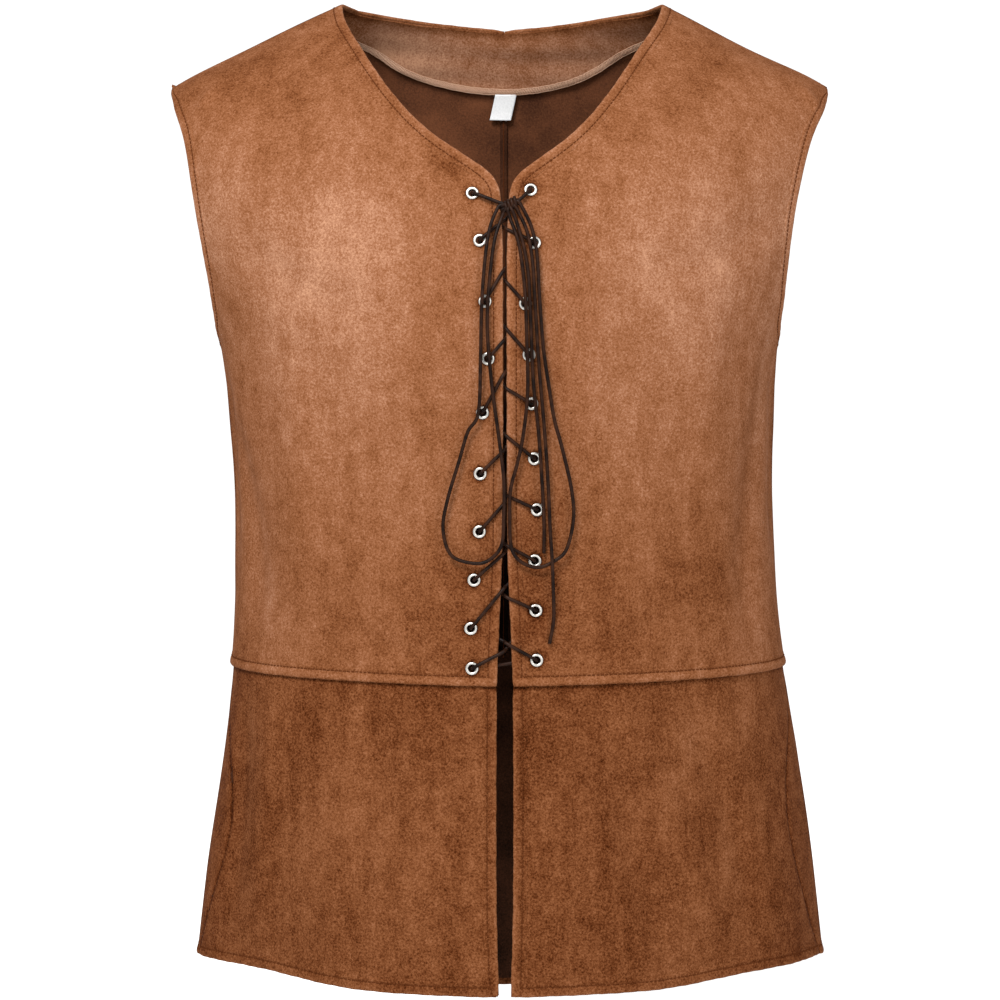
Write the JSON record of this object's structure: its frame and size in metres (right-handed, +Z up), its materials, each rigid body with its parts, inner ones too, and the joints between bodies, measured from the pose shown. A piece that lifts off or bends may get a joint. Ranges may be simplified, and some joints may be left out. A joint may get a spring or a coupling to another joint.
{
  "type": "medieval vest",
  "caption": "Sleeveless hip-length vest of brown faux suede, laced through metal eyelets at the front, with a V neck, waist seam and flared skirt, in its worn hollow form.",
  "frame": {"origin": "between the shoulders, level with the middle of the shoulder seams, where the wearer carries the vest", "axes": "+Z up to the neck, -Y out of the laced front, +X to the wearer's left"},
  "size_m": [0.4963, 0.2889, 0.7645],
  "materials": {
    "vest_suede": "brushed faux suede, matte with a soft nap",
    "label_cloth": "white woven satin, bare",
    "eyelet_metal": "polished nickel plate",
    "lace_cord": "round dark brown cord with a slight sheen"
  },
  "bodies": {
    "root": {"front_left": "vest_suede", "front_right": "vest_suede", "back_left": "vest_suede", "back_right": "vest_suede", "skirt_front_left": "vest_suede", "skirt_front_right": "vest_suede", "skirt_back": "vest_suede", "back_neck_facing": "vest_suede", "care_label": "label_cloth", "lacing": "lace_cord", "lace_knot": "lace_cord", "lace_loop_left": "lace_cord", "lace_loop_right": "lace_cord", "lace_tail_long": "lace_cord", "lace_tail_short": "lace_cord", "eyelet_left_1": "eyelet_metal", "eyelet_left_2": "eyelet_metal", "eyelet_left_3": "eyelet_metal", "eyelet_left_4": "eyelet_metal", "eyelet_left_5": "eyelet_metal", "eyelet_left_6": "eyelet_metal", "eyelet_left_7": "eyelet_metal", "eyelet_left_8": "eyelet_metal", "eyelet_left_9": "eyelet_metal", "eyelet_left_10": "eyelet_metal", "eyelet_right_1": "eyelet_metal", "eyelet_right_2": "eyelet_metal", "eyelet_right_3": "eyelet_metal", "eyelet_right_4": "eyelet_metal", "eyelet_right_5": "eyelet_metal", "eyelet_right_6": "eyelet_metal", "eyelet_right_7": "eyelet_metal", "eyelet_right_8": "eyelet_metal", "eyelet_right_9": "eyelet_metal", "eyelet_right_10": "eyelet_metal"}
  },
  "joints": []
}
